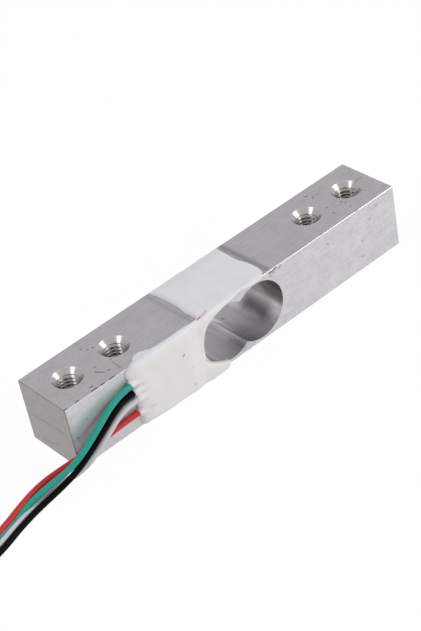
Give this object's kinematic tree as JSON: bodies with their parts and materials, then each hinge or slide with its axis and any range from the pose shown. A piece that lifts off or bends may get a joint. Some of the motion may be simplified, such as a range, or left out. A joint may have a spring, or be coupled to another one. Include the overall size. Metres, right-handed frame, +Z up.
{
  "type": "weighing load cell",
  "caption": "Square aluminium bending-beam load cell with a double cross bore, tapped end holes, silicone over its strain gauges and coloured leads.",
  "frame": {"origin": "midway between the two holes of the fixed end, on the bar's underside", "axes": "+X along the bar from the fixed end, where the leads come out, to the load end; +Y to the back face; +Z up, out of the countersunk top face"},
  "size_m": [0.1163, 0.02, 0.0138],
  "materials": {
    "bar_aluminium": "satin, fine machining marks",
    "silicone": "glossy translucent white",
    "polyimide": "smooth amber film",
    "gauge_alloy": "etched foil",
    "board_laminate": "smooth laminate",
    "copper": "bare rolled copper",
    "solder": "smooth solder",
    "enamelled_copper": "clear enamel over copper",
    "tinned_copper": "tinned strands",
    "insulation_green": "smooth insulation",
    "insulation_black": "smooth insulation",
    "insulation_white": "smooth insulation",
    "insulation_red": "smooth insulation",
    "insulation_coil": "four colours of smooth insulation wound together"
  },
  "bodies": {
    "root": {"beam": "bar_aluminium", "sealant_top": "silicone", "sealant_side": "silicone", "sealant_underside": "silicone", "gauge_film_top_fixed": "polyimide", "gauge_foil_top_fixed": "gauge_alloy", "gauge_film_top_load": "polyimide", "gauge_foil_top_load": "gauge_alloy", "gauge_film_under_fixed": "polyimide", "gauge_foil_under_fixed": "gauge_alloy", "gauge_film_under_load": "polyimide", "gauge_foil_under_load": "gauge_alloy", "terminal_board": "board_laminate", "terminal_strips": "copper", "lead_joints": "solder", "jumper_joints": "solder", "gauge_joints": "solder", "jumper_top_red": "enamelled_copper", "jumper_top_white": "enamelled_copper", "jumper_top_green": "enamelled_copper", "jumper_under_white": "enamelled_copper", "jumper_under_black": "enamelled_copper", "jumper_under_green": "enamelled_copper", "gauge_link_top": "enamelled_copper", "gauge_link_under": "enamelled_copper", "lead_tails": "tinned_copper", "lead_green": "insulation_green", "lead_green_tip": "tinned_copper", "lead_black": "insulation_black", "lead_black_tip": "tinned_copper", "lead_white": "insulation_white", "lead_white_tip": "tinned_copper", "lead_red": "insulation_red", "lead_red_tip": "tinned_copper", "leads_coil": "insulation_coil"}
  },
  "joints": []
}
